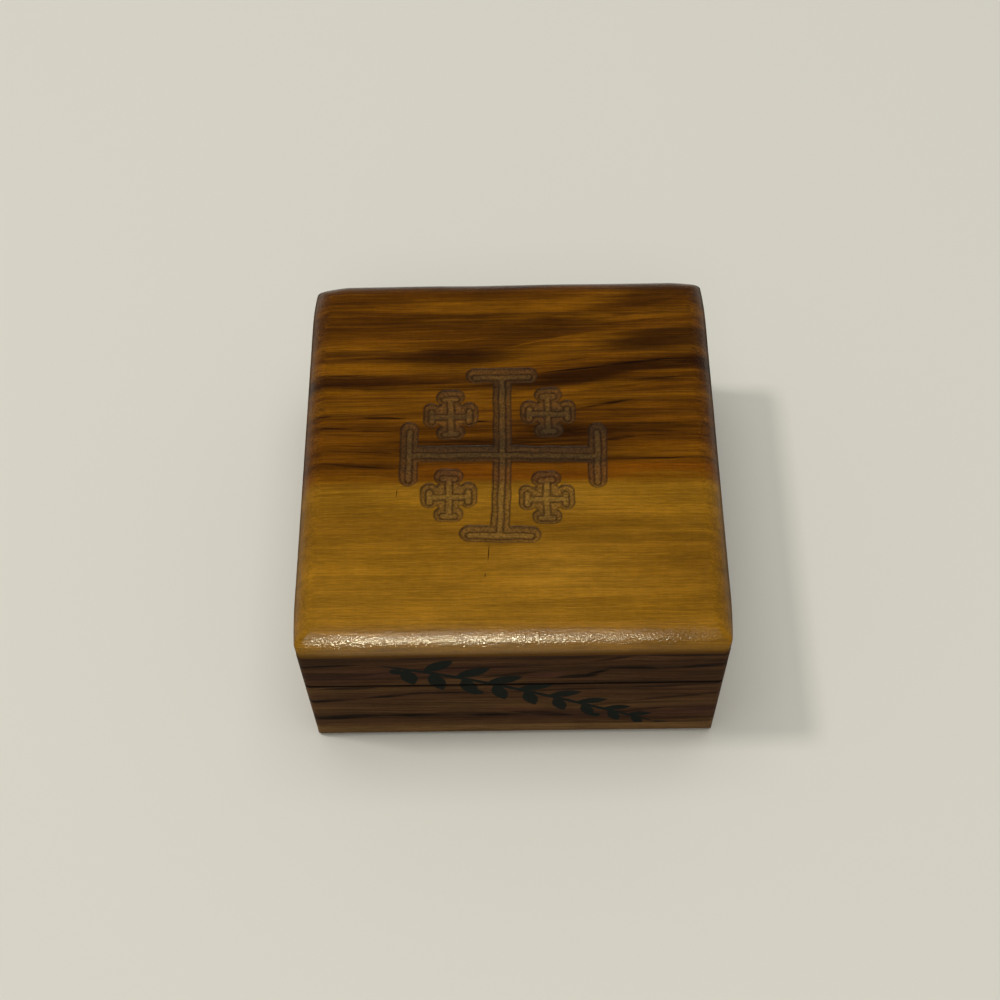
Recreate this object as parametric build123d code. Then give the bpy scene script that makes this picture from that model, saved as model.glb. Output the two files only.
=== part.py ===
from build123d import *
import os
from math import atan2, degrees, hypot

# A small square box of olive wood with a hinged lid. Millimetres, +Z up, front face towards -Y.
# The origin is the centre of the flat underside.

# Outer size of the closed wooden box
box_width = 80.0
box_depth = 83.0
box_height = 41.5
wall_thickness = 7.0
bottom_thickness = 5.0
top_thickness = 5.4

# Hand-sanded edges. The left and right faces bend in a little before each upright edge.
upright_edge_radius = 1.2
side_easing_length = 15.0
side_easing_depth = 0.8
top_edge_radius = 4.5
bottom_edge_radius = 2.0
rim_edge_radius = 0.3

# The saw cut that parts the lid from the base
seam_height = 23.9
seam_gap = 0.2

# Cross potent with four crosslets, routed into the top plate by hand and so a little uneven.
# Arm ends and crosslets are given from the middle of the cross.
carving_depth = 0.85
groove_width = 3.6
groove_wall_lean = 45.0
cross_middle = (-1.5, -1.4)
cross_arm_ends = [(-17.9, 0.1), (18.1, -0.6), (0.0, 18.1), (-0.3, -17.7)]
cross_potent_length = 14.4
crosslet_middles = [(-9.7, 9.1), (9.2, 9.2), (-10.0, -9.2), (8.7, -9.9)]
crosslet_arm_reach = 3.8
crosslet_potent_length = 5.6

# Butt hinges, nailed flat on the outside of the back wall and rail
hinge_offset_x = 22.0
leaf_width = 18.0
leaf_reach = 7.5
leaf_thickness = 0.8
leaf_corner_radius = 1.0
knuckle_radius = 1.5
knuckle_side_gap = 0.15
knuckle_wood_gap = 0.2
leaf_notch_gap = 0.25
pin_radius = 0.6
pin_running_clearance = 0.05
pin_overhang = 0.4
pin_chamfer = 0.15

# Domed brass nails, two in each leaf
nail_spacing = 10.0
nail_drop = 4.6
nail_head_radius = 1.1
nail_head_height = 0.55
nail_shank_radius = 0.5
nail_length = 5.5
nail_tip_length = 1.0
nail_tip_radius = 0.1
leaf_hole_radius = 0.55

half_width = box_width / 2
half_depth = box_depth / 2
base_rim_height = seam_height - seam_gap / 2
lid_rim_height = seam_height + seam_gap / 2
lid_frame_top = box_height - top_thickness
hinge_axis_y = half_depth + knuckle_wood_gap + knuckle_radius
leaf_back = half_depth - hinge_axis_y
knuckle_width = leaf_width / 3

# Plan directions of the two outer corners of each side of a frame
side_corners = {
    "front": ((-1, -1), (1, -1)),
    "right": ((1, -1), (1, 1)),
    "back": ((1, 1), (-1, 1)),
    "left": ((-1, 1), (-1, -1)),
}
hinge_centers = {"left": -hinge_offset_x, "right": hinge_offset_x}


def box_outline():
    """Plan of the box: straight front and back, and sides eased in towards their ends."""
    corner_x = half_width - side_easing_depth
    bend_y = half_depth - side_easing_length
    lines = Line((-corner_x, -half_depth), (corner_x, -half_depth))
    lines += Line((-corner_x, half_depth), (corner_x, half_depth))
    for x_way in (-1, 1):
        lines += Line((x_way * half_width, -bend_y), (x_way * half_width, bend_y))
        for y_way in (-1, 1):
            bend = (x_way * half_width, y_way * bend_y)
            corner = (x_way * corner_x, y_way * half_depth)
            lines += TangentArc(bend, corner, tangent=(0, y_way))
    outline = make_face(lines)
    ends = outline.vertices().group_by(Axis.Y)
    return fillet(ends[0] + ends[-1], upright_edge_radius)


def plate(low, high):
    """A full-size board."""
    return Pos(0, 0, low) * extrude(box_outline(), high - low)


def outer_board(low, high):
    """A full-size board with the outer edges of the box rounded, the roundings mitred at the corners."""
    block = Box(box_width, box_depth, box_height, align=(Align.CENTER, Align.CENTER, Align.MIN))
    block = fillet(block.edges().group_by(Axis.Z)[-1], top_edge_radius)
    block = fillet(block.edges().group_by(Axis.Z)[0], bottom_edge_radius)
    return plate(low, high) & block


def frame(low, high, rim):
    """The four sides still in one piece, with the edges at the rim height softened."""
    hollow = Box(
        box_width - 2 * wall_thickness,
        box_depth - 2 * wall_thickness,
        high - low,
        align=(Align.CENTER, Align.CENTER, Align.MIN),
    )
    ring = plate(low, high) - Pos(0, 0, low) * hollow
    rim_edges = ring.edges().filter_by_position(Axis.Z, rim - 0.01, rim + 0.01)
    return fillet(rim_edges, rim_edge_radius)


def mitred_side(ring, side, low, high):
    """One side of the frame, cut at 45 degrees through both of its corners."""
    (ax, ay), (bx, by) = side_corners[side]
    inner_x = half_width - wall_thickness
    inner_y = half_depth - wall_thickness
    outline = Polygon(
        (ax * half_width, ay * half_depth),
        (bx * half_width, by * half_depth),
        (bx * inner_x, by * inner_y),
        (ax * inner_x, ay * inner_y),
        align=None,
    )
    return ring & (Pos(0, 0, low) * extrude(outline, high - low))


def groove(start, end):
    """A straight routed groove with round ends and sloping walls, as a solid to cut away."""
    dx = end[0] - start[0]
    dy = end[1] - start[1]
    middle = Vector((start[0] + end[0]) / 2, (start[1] + end[1]) / 2, box_height)
    turn = degrees(atan2(dy, dx))
    slot = SlotCenterToCenter(hypot(dx, dy), groove_width)
    cut = extrude(slot, -carving_depth, taper=groove_wall_lean)
    return Location(middle, (0, 0, turn)) * cut


def cross_strokes(middle, arm_ends, potent_length):
    """Centre lines of a cross whose arms each end in a short bar across them."""
    half_bar = (potent_length - groove_width) / 2
    strokes = []
    for end_x, end_y in arm_ends:
        end = (middle[0] + end_x, middle[1] + end_y)
        across_x = -end_y / hypot(end_x, end_y) * half_bar
        across_y = end_x / hypot(end_x, end_y) * half_bar
        strokes.append((middle, end))
        strokes.append(((end[0] - across_x, end[1] - across_y), (end[0] + across_x, end[1] + across_y)))
    return strokes


def top_plate():
    board = outer_board(lid_frame_top, box_height)
    strokes = cross_strokes(cross_middle, cross_arm_ends, cross_potent_length)
    reach = crosslet_arm_reach
    small_arm_ends = [(-reach, 0), (reach, 0), (0, reach), (0, -reach)]
    for x, y in crosslet_middles:
        middle = (cross_middle[0] + x, cross_middle[1] + y)
        strokes += cross_strokes(middle, small_arm_ends, crosslet_potent_length)
    for start, end in strokes:
        board -= groove(start, end)
    return board


def bottom_plate():
    return outer_board(0, bottom_thickness)


def nail_shank():
    """Shank and point along -Z, from the outer face of the leaf down."""
    straight = nail_length - nail_tip_length
    top = (Align.CENTER, Align.CENTER, Align.MAX)
    shank = Cylinder(nail_shank_radius, straight, align=top)
    tip = Cone(nail_tip_radius, nail_shank_radius, nail_tip_length, align=top)
    return shank + Pos(0, 0, -straight) * tip


def nail_head():
    """A shallow dome that stands on the leaf."""
    ball_radius = (nail_head_radius**2 + nail_head_height**2) / (2 * nail_head_height)
    ball = Pos(0, 0, nail_head_height - ball_radius) * Sphere(ball_radius)
    standing = (Align.CENTER, Align.CENTER, Align.MIN)
    return ball & Cylinder(2 * nail_head_radius, 2 * nail_head_height, align=standing)


def nail_places(way):
    """Where the nails of one body go: way is -1 for the base leaves, 1 for the lid leaves."""
    outer_face = half_depth + leaf_thickness
    places = []
    for center_x in hinge_centers.values():
        for x in (center_x - nail_spacing / 2, center_x + nail_spacing / 2):
            places.append(Pos(x, outer_face, seam_height + way * nail_drop) * Rot(-90, 0, 0))
    return places


def nails(way):
    return Compound(children=[place * (nail_head() + nail_shank()) for place in nail_places(way)])


def knuckle(low, high, bore_radius):
    """A barrel on the hinge axis from low to high along X."""
    width = high - low
    barrel = Cylinder(knuckle_radius, width) - Cylinder(bore_radius, width)
    return Pos((low + high) / 2, 0, 0) * Rot(0, 90, 0) * barrel


def leaf(way):
    """A leaf about the hinge axis: way -1 hangs down with two knuckles, 1 stands up with one."""
    inner = knuckle_width / 2
    outer = leaf_width / 2
    side = knuckle_side_gap / 2
    if way < 0:
        bore_radius = pin_radius
        spans = [(-outer, -inner - side), (inner + side, outer)]
    else:
        bore_radius = pin_radius + pin_running_clearance
        spans = [(side - inner, inner - side)]
    sheet_y = leaf_back + leaf_thickness / 2
    neck_height = knuckle_radius + leaf_notch_gap
    sheet_height = leaf_reach - neck_height
    sheet = Pos(0, sheet_y, way * (neck_height + sheet_height / 2)) * Box(
        leaf_width, leaf_thickness, sheet_height
    )
    sheet = fillet(sheet.edges().filter_by(Axis.Y), leaf_corner_radius)
    for low, high in spans:
        neck = Box(high - low, leaf_thickness, 2 * neck_height)
        sheet += Pos((low + high) / 2, sheet_y, way * neck_height) * neck
        sheet += knuckle(low, high, bore_radius)
    hole = Rot(90, 0, 0) * Cylinder(leaf_hole_radius, 2 * leaf_thickness)
    for x in (-nail_spacing / 2, nail_spacing / 2):
        sheet -= Pos(x, sheet_y, way * nail_drop) * hole
    return sheet


def hinge_pin():
    pin = Rot(0, 90, 0) * Cylinder(pin_radius, leaf_width + 2 * pin_overhang)
    return chamfer(pin.edges().filter_by(GeomType.CIRCLE), pin_chamfer)


def pilot_holes(wall, way):
    for place in nail_places(way):
        wall -= place * nail_shank()
    return wall


def build():
    parts = {}
    parts["bottom_plate"] = bottom_plate()
    parts["top_plate"] = top_plate()
    base_ring = frame(bottom_thickness, base_rim_height, base_rim_height)
    lid_ring = frame(lid_rim_height, lid_frame_top, lid_rim_height)
    for side in side_corners:
        wall = mitred_side(base_ring, side, bottom_thickness, base_rim_height)
        rail = mitred_side(lid_ring, side, lid_rim_height, lid_frame_top)
        if side == "back":
            wall = pilot_holes(wall, -1)
            rail = pilot_holes(rail, 1)
        parts[f"base_{side}_wall"] = wall
        parts[f"lid_{side}_rail"] = rail
    for side, center_x in hinge_centers.items():
        axis_place = Pos(center_x, hinge_axis_y, seam_height)
        parts[f"base_hinge_leaf_{side}"] = axis_place * leaf(-1)
        parts[f"lid_hinge_leaf_{side}"] = axis_place * leaf(1)
        parts[f"hinge_pin_{side}"] = axis_place * hinge_pin()
    parts["base_hinge_nails"] = nails(-1)
    parts["lid_hinge_nails"] = nails(1)
    return parts


os.makedirs("parts", exist_ok=True)
for node, shape in build().items():
    export_step(shape, f"parts/{node}.step")
    print(node, len(shape.solids()), "solids", round(shape.volume, 1), "mm3")
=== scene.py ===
import math
from types import SimpleNamespace
import bpy
import numpy as np
from mathutils import Matrix, Vector, noise


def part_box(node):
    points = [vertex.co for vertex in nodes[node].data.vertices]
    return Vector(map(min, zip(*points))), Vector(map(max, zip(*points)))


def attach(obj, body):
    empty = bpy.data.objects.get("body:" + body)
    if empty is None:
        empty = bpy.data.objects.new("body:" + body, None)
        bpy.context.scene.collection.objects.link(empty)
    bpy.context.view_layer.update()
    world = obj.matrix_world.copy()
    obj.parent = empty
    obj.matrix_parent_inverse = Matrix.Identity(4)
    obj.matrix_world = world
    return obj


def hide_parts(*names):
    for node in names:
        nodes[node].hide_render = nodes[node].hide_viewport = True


# A small square box of olive wood with a hinged, carved lid, closed, on a pale floor.
# Sizes below are in millimetres, in the same frame as the solids, and become metres where they are used.

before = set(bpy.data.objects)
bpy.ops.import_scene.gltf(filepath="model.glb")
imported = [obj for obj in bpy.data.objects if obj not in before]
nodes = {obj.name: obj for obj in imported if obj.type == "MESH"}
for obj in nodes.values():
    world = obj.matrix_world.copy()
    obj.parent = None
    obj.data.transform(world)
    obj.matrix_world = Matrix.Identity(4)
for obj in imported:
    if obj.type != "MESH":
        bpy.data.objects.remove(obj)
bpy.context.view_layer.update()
mm = 0.001

scene = bpy.context.scene
scene.view_settings.view_transform = "Standard"


def boxOf(name):
    return [[size / mm for size in corner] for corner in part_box(name)]


topLow, topHigh = boxOf("top_plate")
seamHeight = (boxOf("base_front_wall")[1][2] + boxOf("lid_front_rail")[0][2]) / 2


def toLinear(hexColour):
    parts = [int(hexColour[i:i + 2], 16) / 255 for i in (1, 3, 5)]
    return [c / 12.92 if c <= 0.04045 else ((c + 0.055) / 1.055) ** 2.4 for c in parts] + [1.0]


def fill(tree, node, inputs):
    # Inputs come by name, or in the order of the sockets. Each is a value, a hex colour, a socket to
    # link, or a node that stands for its first output.
    for socket, value in inputs.items() if isinstance(inputs, dict) else enumerate(inputs):
        if isinstance(value, str):
            value = toLinear(value)
        if isinstance(value, bpy.types.Node):
            value = value.outputs[0]
        if isinstance(value, bpy.types.NodeSocket):
            tree.links.new(value, node.inputs[socket])
        else:
            node.inputs[socket].default_value = value


def addNode(tree, kind, inputs=(), stops=None, **settings):
    # Adds one node; stops are (position, hex colour) of a ramp
    node = tree.nodes.new("ShaderNode" + kind)
    for setting, value in settings.items():
        setattr(node, setting, value)
    fill(tree, node, inputs)
    if stops:
        ramp = node.color_ramp.elements
        while len(ramp) < len(stops):
            ramp.new(0.5)
        for element, (position, colour) in zip(ramp, stops):
            element.position = position
        for element, (position, colour) in zip(ramp, stops):
            element.color = toLinear(colour)
    return node


def startMaterial(name):
    material = bpy.data.materials.new(name)
    material.use_nodes = True
    tree = material.node_tree
    tree.nodes.clear()
    shader = addNode(tree, "BsdfPrincipled")
    addNode(tree, "OutputMaterial", {"Surface": shader})
    return material, tree, shader


def dress(names, material):
    for name in names:
        nodes[name].data.materials.clear()
        nodes[name].data.materials.append(material)


# Camera
camera = {
    "place": (0.916, -163.649, 295.038),
    "yaw": -1.13,        # degrees to the right
    "down": 59.081,      # degrees below level
    "roll": -1.793,
    "lens": 56.85,
    "sensor": 36.0,
}

yaw, down, roll = (math.radians(camera[key]) for key in ("yaw", "down", "roll"))
look = Vector((math.sin(yaw) * math.cos(down), math.cos(yaw) * math.cos(down), -math.sin(down)))
levelRight = Vector((math.cos(yaw), -math.sin(yaw), 0))
levelUp = levelRight.cross(look)
right = levelRight * math.cos(roll) + levelUp * math.sin(roll)
up = levelUp * math.cos(roll) - levelRight * math.sin(roll)

cameraData = bpy.data.cameras.new("camera")
cameraData.lens = camera["lens"]
cameraData.sensor_width = camera["sensor"]
cameraData.clip_start = 0.01
cameraObject = bpy.data.objects.new("camera", cameraData)
scene.collection.objects.link(cameraObject)
turn = Matrix((right, up, -look)).transposed().to_4x4()
cameraObject.matrix_world = Matrix.Translation(Vector(camera["place"]) * mm) @ turn
scene.camera = cameraObject
print("camera placed")


# Floor and light
studio = {
    "floorSize": 6000.0,
    "floorColour": "#d6d5cc",    # what the camera and the gloss see
    "floorBounce": "#8a8880",    # what the floor throws back on the box
    "floorRoughness": 0.9,
    "farWall": 0.60,             # the room as the eye sees it
    "farFloor": (0.5, 2.2, 0.42),    # lifts the floor to it, from metres away, to metres away, by
    "backdrop": 0.32,            # the room at the horizon, as the gloss sees it
    "ceiling": 0.06,             # and overhead
    "ceilingRise": (0.25, 0.75),    # the height at which the one runs into the other
    "roomLight": 0.25,
    "lampAim": 30.0,             # height that the lamps point at
}
lamps = {
    # direction it comes from, distance, width, height, power in watts, colour, what it lights
    "keyLeft": ((-0.454, 0.03, 0.89), 2.0, 0.21, 0.21, 11.6, "#fffbf4", "diffuse"),
    "overhead": ((0.0, 0.04, 1.0), 1.8, 1.4, 1.2, 15.0, "#fffdf8", "diffuse"),
    "frontGlow": ((-0.03, -0.62, 0.78), 1.8, 0.7, 0.6, 4.5, "#fff6ea", "all"),
    "frontSpark": ((-0.078, -0.877, 0.475), 1.8, 0.09, 0.18, 16.0, "#fbf3d2", "gloss"),
    "frontSheen": ((-0.105, -0.81, 0.58), 1.8, 0.18, 0.8, 1.9, "#fbeed0", "gloss"),
}


def seenByEye(tree):
    # 1 for rays of the camera, of gloss and through glass, 0 for the light itself
    path = addNode(tree, "LightPath").outputs
    seen = addNode(tree, "Math", [path["Is Camera Ray"], path["Is Glossy Ray"]], operation="MAXIMUM")
    return addNode(tree, "Math", [seen, path["Is Transmission Ray"]], operation="MAXIMUM")


def paleFloor():
    half = studio["floorSize"] / 2 * mm
    corners = [(-half, -half, 0), (half, -half, 0), (half, half, 0), (-half, half, 0)]
    mesh = bpy.data.meshes.new("floor")
    mesh.from_pydata(corners, [], [(0, 1, 2, 3)])
    floor = bpy.data.objects.new("floor", mesh)
    scene.collection.objects.link(floor)
    material, tree, shader = startMaterial("pale matt floor")
    colour = addNode(tree, "MixRGB", [seenByEye(tree), studio["floorBounce"], studio["floorColour"]])
    near, far, most = studio["farFloor"]
    place = addNode(tree, "TexCoord").outputs["Object"]
    away = addNode(tree, "VectorMath", [place], operation="LENGTH").outputs["Value"]
    lift = addNode(tree, "MapRange", [away, near, far, 0.0, most], interpolation_type="SMOOTHSTEP")
    cameraRay = addNode(tree, "LightPath").outputs["Is Camera Ray"]
    lift = addNode(tree, "Math", [lift, cameraRay], operation="MULTIPLY")
    fill(tree, shader, {"Base Color": colour, "Emission Strength": lift,
                        "Emission Color": studio["floorColour"],
                        "Roughness": studio["floorRoughness"], "Specular IOR Level": 0.0})
    mesh.materials.append(material)


def softRoom():
    world = bpy.data.worlds.new("room")
    world.use_nodes = True
    tree = world.node_tree
    tree.nodes.clear()
    way = addNode(tree, "TexCoord").outputs["Generated"]
    upward = addNode(tree, "SeparateXYZ", [way]).outputs["Z"]
    shown = addNode(tree, "MapRange", [
        upward, *studio["ceilingRise"], studio["backdrop"], studio["ceiling"]])
    strength = addNode(tree, "MapRange", [seenByEye(tree), 0.0, 1.0, studio["roomLight"], shown])
    cameraRay = addNode(tree, "LightPath").outputs["Is Camera Ray"]
    strength = addNode(tree, "MapRange", [cameraRay, 0.0, 1.0, strength, studio["farWall"]])
    glow = addNode(tree, "Background", {"Color": "#ffffff", "Strength": strength})
    addNode(tree, "OutputWorld", {"Surface": glow})
    scene.world = world


def hangLamp(name, way, distance, width, height, power, colour, reach):
    data = bpy.data.lights.new(name, "AREA")
    data.shape = "RECTANGLE"
    data.size = width
    data.size_y = height
    data.energy = power
    data.color = toLinear(colour)[:3]
    lamp = bpy.data.objects.new(name, data)
    scene.collection.objects.link(lamp)
    away = Vector(way).normalized()
    lamp.location = away * distance + Vector((0, 0, studio["lampAim"] * mm))
    lamp.rotation_mode = "QUATERNION"
    lamp.rotation_quaternion = away.to_track_quat("Z", "Y")
    lamp.visible_camera = False
    lamp.visible_diffuse = reach != "gloss"
    lamp.visible_glossy = reach != "diffuse"


paleFloor()
softRoom()
for lampName, lampFacts in lamps.items():
    hangLamp(lampName, *lampFacts)
print("floor and light ready")


# Olive wood
# Warm, tight-grained wood under a thin hand-rubbed lacquer: pale gold sapwood, brown heartwood with
# near-black streaks. Low, slightly orange-peeled gloss outside, dull where it is cut or left bare.
oliveWood = {
    # natural bends of the grain: length, width, how far they push it
    "waves": [(70.0, 16.0, 1.3), (26.0, 5.0, 0.5), (9.0, 1.8, 0.16), (4.0, 0.8, 0.06)],
    # soft light and dark drawn out along the grain: length, width, strength
    "shades": [
        (55.0, 1.7, 0.17), (11.0, 4.0, 0.15), (0.7, 3.0, 0.04), (15.0, 0.26, 0.21), (2.4, 0.17, 0.20)],
    "shadeSpan": (0.28, 0.72),        # least and most noise that shades
    # growth lines in the heartwood: length, width, strength, least and most noise that shows
    "darkVeins": [
        (38.0, 0.95, 0.62, 0.50, 0.66), (20.0, 0.40, 0.55, 0.50, 0.68), (11.0, 0.20, 0.40, 0.48, 0.70)],
    "paleVeins": [(24.0, 0.60, 0.50, 0.54, 0.70), (12.0, 0.28, 0.35, 0.54, 0.72)],
    "darkVeinColour": "#2b1607",
    "paleVeinColour": "#7c4e0d",
    "joint": (30.0, 2.2, 26.0, 9.0),  # where two stretches of bands meet: length, width, throw, overlap
    "streakEdge": (0.30, 1.0),        # where a streak starts to fade, and is gone, from its centre line
    "gaps": (9.0, 0.5),               # breaks in the streaks: length, width
    "gapSpan": (0.34, 0.60, 0.45, 1.1),    # least and most noise, strength of the streaks at each
    "peel": (0.62, 0.34, 0.09),       # bumps of the lacquer over the fibres: length, width and height
    "roughnessSpread": (-0.03, 0.04), # from place to place
    "ior": 1.47,                      # of the lacquer
    "bareColour": "#8a6a42",
    "bareRoughness": 0.72,
    "bareInside": (0.05, 0.62, 0.16), # softness of its edge, cover of the bare colour, streaks in it
    "seeds": {
        "joint": 7.0, "darkVein": 24.0, "gaps": 31.0, "shades": 41.0, "peel": 53.0, "paleVein": 62.0},
}
noiseSpan = (0.3, 0.7)    # a noise keeps mostly between these


def joinNoise(tree, space, length, width, detail=2.0, seed=0.0):
    # Noise drawn out along the grain into streaks of that length and width
    scaled = addNode(tree, "VectorMath", [space, (1 / length, 1 / width, 1 / width), (seed, seed, seed)],
                     operation="MULTIPLY_ADD")
    return addNode(tree, "TexNoise", {"Vector": scaled, "Scale": 1.0, "Detail": detail}).outputs["Fac"]


def grainSpace(tree, wood):
    # Millimetres along, across and through the board, with the natural bends of the grain in them
    place = addNode(tree, "TexCoord").outputs["Object"]
    sized = addNode(tree, "VectorMath", [place, (1 / mm, 1 / mm, 1 / mm)], operation="MULTIPLY")
    split = addNode(tree, "SeparateXYZ", [sized])
    along, across, through = (split.outputs[axis] for axis in wood["axes"])
    straight = addNode(tree, "CombineXYZ", [along, across, through])
    bent = across
    for length, width, shift in oliveWood["waves"]:
        shift *= wood["bend"]
        wave = joinNoise(tree, straight, length, width, 1.0, wood["seed"])
        moved = addNode(tree, "Math", [wave, 2 * shift, -shift], operation="MULTIPLY_ADD")
        bent = addNode(tree, "Math", [bent, moved], operation="ADD")
    space = addNode(tree, "CombineXYZ", [along, bent, through])
    return sized, space, along, bent


def bandColour(tree, wood, along, across, space):
    # The broad colour bands, given at a few places along the board and run into each other
    low, high = wood["span"]
    length, width, throw, overlap = oliveWood["joint"]
    drift = joinNoise(tree, space, length, width, 2.0, oliveWood["seeds"]["joint"])
    reach = addNode(tree, "Math", [drift, throw, along], operation="MULTIPLY_ADD")
    colour = None
    for centre, (riseLow, riseHigh, slopeLow, slopeHigh), bands in wood["bands"]:
        slope = addNode(tree, "MapRange", [across, riseLow, riseHigh, -slopeLow, -slopeHigh])
        far = addNode(tree, "Math", [along, centre], operation="SUBTRACT")
        level = addNode(tree, "Math", [far, slope, across], operation="MULTIPLY_ADD")
        place = addNode(tree, "MapRange", [level, low, high])
        stops = [((at - low) / (high - low), shade) for at, shade in bands]
        shade = addNode(tree, "ValToRGB", [place], stops=stops)
        if colour is None:
            colour = shade
        else:
            middle = (lastCentre + centre) / 2 + throw / 2
            blend = addNode(tree, "MapRange", [reach, middle - overlap, middle + overlap],
                            interpolation_type="SMOOTHSTEP")
            colour = addNode(tree, "MixRGB", [blend, colour, shade])
        lastCentre = centre
    return colour


def drawLines(tree, colour, lines, lineColour, along, across, breakUp):
    # Lens-shaped streaks: from (x, y) to (x, y), half width and strength, tapering to both ends
    total = None
    for x0, y0, x1, y1, halfWidth, strength in lines:
        run = addNode(tree, "MapRange", [along, x0, x1, -1.0, 1.0], clamp=False)
        line = addNode(tree, "MapRange", [along, x0, x1, y0, y1], clamp=False)
        off = addNode(tree, "Math", [across, line], operation="SUBTRACT")
        off = addNode(tree, "Math", [off], operation="ABSOLUTE")
        ends = addNode(tree, "Math", [run, run], operation="MULTIPLY")
        lens = addNode(tree, "Math", [off, 1 / halfWidth, ends], operation="MULTIPLY_ADD")
        mask = addNode(tree, "MapRange", [lens, *oliveWood["streakEdge"], strength, 0.0],
                       interpolation_type="SMOOTHSTEP")
        total = mask if total is None else addNode(tree, "Math", [total, mask], operation="MAXIMUM")
    total = addNode(tree, "Math", [total, breakUp], operation="MULTIPLY", use_clamp=True)
    return addNode(tree, "MixRGB", [total, colour, lineColour])


def shadeBy(tree, colour, amount, low, high, strength):
    # Lightens and darkens a colour by a noise value around its middle
    factor = addNode(tree, "MapRange", [amount, low, high, 1 - strength, 1 + strength])
    return addNode(tree, "VectorMath", {0: colour, "Scale": factor}, operation="SCALE")


def boxMask(tree, position, half, soft):
    # 1 well inside the upright box with those half sizes (None is endless), 0 outside
    split = addNode(tree, "SeparateXYZ", [position])
    mask = None
    for axis, size in enumerate(half):
        if size is None:
            continue
        away = addNode(tree, "Math", [split.outputs[axis]], operation="ABSOLUTE")
        side = addNode(tree, "MapRange", [away, size - soft, size + soft, 1.0, 0.0])
        mask = side if mask is None else addNode(tree, "Math", [mask, side], operation="MINIMUM")
    return mask


def leaveBare(board, mask, cover, shade):
    # Dry wood that was never lacquered, where the mask is 1
    tree = board.tree
    plain = addNode(tree, "MixRGB", [cover, board.colour, oliveWood["bareColour"]])
    plain = shadeBy(tree, plain, board.fibre, *noiseSpan, shade)
    board.colour = addNode(tree, "MixRGB", [mask, board.colour, plain])
    bareRoughness = oliveWood["bareRoughness"]
    board.roughness = addNode(tree, "MapRange", [mask, 0.0, 1.0, board.roughness, bareRoughness])


def makeWood(name, wood):
    material, tree, shader = startMaterial(name)
    position, space, along, across = grainSpace(tree, wood)
    colour = bandColour(tree, wood, along, across, space)
    seeds = {use: wood["seed"] + seed for use, seed in oliveWood["seeds"].items()}

    heartFrom, heartTo, faint = wood["heart"]
    heart = addNode(tree, "MapRange", [across, heartFrom, heartTo, faint, 1.0])
    for kind in ("paleVein", "darkVein"):
        veinColour = wood.get(kind + "Colour", oliveWood[kind + "Colour"])
        for index, (length, width, strength, least, most) in enumerate(oliveWood[kind + "s"]):
            vein = joinNoise(tree, space, length, width, 2.0, seeds[kind] + index)
            vein = addNode(tree, "MapRange", [vein, least, most, 0.0, strength * wood[kind + "s"]],
                           interpolation_type="SMOOTHSTEP")
            vein = addNode(tree, "Math", [vein, heart], operation="MULTIPLY")
            colour = addNode(tree, "MixRGB", [vein, colour, veinColour])

    gaps = joinNoise(tree, space, *oliveWood["gaps"], 3.0, seeds["gaps"])
    breakUp = addNode(tree, "MapRange", [gaps, *oliveWood["gapSpan"]])
    for lineColour, lines in wood["lines"].items():
        colour = drawLines(tree, colour, lines, lineColour, along, across, breakUp)
    if "checks" in wood:
        colour = drawLines(tree, colour, wood["checks"], oliveWood["darkVeinColour"], across, along, 1.0)

    for index, (length, width, strength) in enumerate(oliveWood["shades"]):
        fibre = joinNoise(tree, space, length, width, 2.5, seeds["shades"] + index)
        colour = shadeBy(tree, colour, fibre, *oliveWood["shadeSpan"], strength)

    smoother, rougher = (wood["roughness"] + change for change in oliveWood["roughnessSpread"])
    roughness = addNode(tree, "MapRange", [gaps, *noiseSpan, smoother, rougher])
    length, width, height = oliveWood["peel"]
    peel = joinNoise(tree, space, length, width, 2.0, seeds["peel"])
    relief = addNode(tree, "Math", [fibre, wood["fibreHeight"], peel], operation="MULTIPLY_ADD")
    height *= wood["peel"] * mm
    bump = addNode(tree, "Bump", {"Height": relief, "Distance": height, "Strength": 1.0})
    fill(tree, shader, {"IOR": oliveWood["ior"], "Specular IOR Level": wood["gloss"]})
    board = SimpleNamespace(material=material, tree=tree, shader=shader, position=position,
                            colour=colour, roughness=roughness, bump=bump, fibre=fibre)
    if "bare" in wood:
        soft, cover, shade = oliveWood["bareInside"]
        leaveBare(board, boxMask(tree, position, wood["bare"], soft), cover, shade)
    return board


# Dirt and shade along the saw cut, on the outermost half millimetre only
seam = {
    "colour": "#0c0705",
    "fade": (0.28, 0.60),    # from the middle of the cut
    "strength": 0.9,
    "depth": 0.5,
    "soft": 0.1,
}


def darkenSeam(board):
    tree = board.tree
    height = addNode(tree, "SeparateXYZ", [board.position]).outputs["Z"]
    height = addNode(tree, "Math", [height, seamHeight], operation="SUBTRACT")
    height = addNode(tree, "Math", [height], operation="ABSOLUTE")
    near = addNode(tree, "MapRange", [height, *seam["fade"], seam["strength"], 0.0])
    halfCore = (topHigh[0] - seam["depth"], topHigh[1] - seam["depth"], None)
    core = boxMask(tree, board.position, halfCore, seam["soft"])
    near = addNode(tree, "Math", [near, core], operation="SUBTRACT", use_clamp=True)
    board.colour = addNode(tree, "MixRGB", [near, board.colour, seam["colour"]])


def finishWood(board):
    fill(board.tree, board.shader, {"Base Color": board.colour, "Roughness": board.roughness,
                                    "Normal": board.bump})


# Top plate: gold sapwood at the front, streaked heartwood behind
gold, honey, dusk, amber, orange = "#835b11", "#8b6217", "#76500e", "#704506", "#6b3b03"
tan, brown, umber, dark, black = "#623904", "#502d03", "#412402", "#2b1402", "#190a03"

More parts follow.
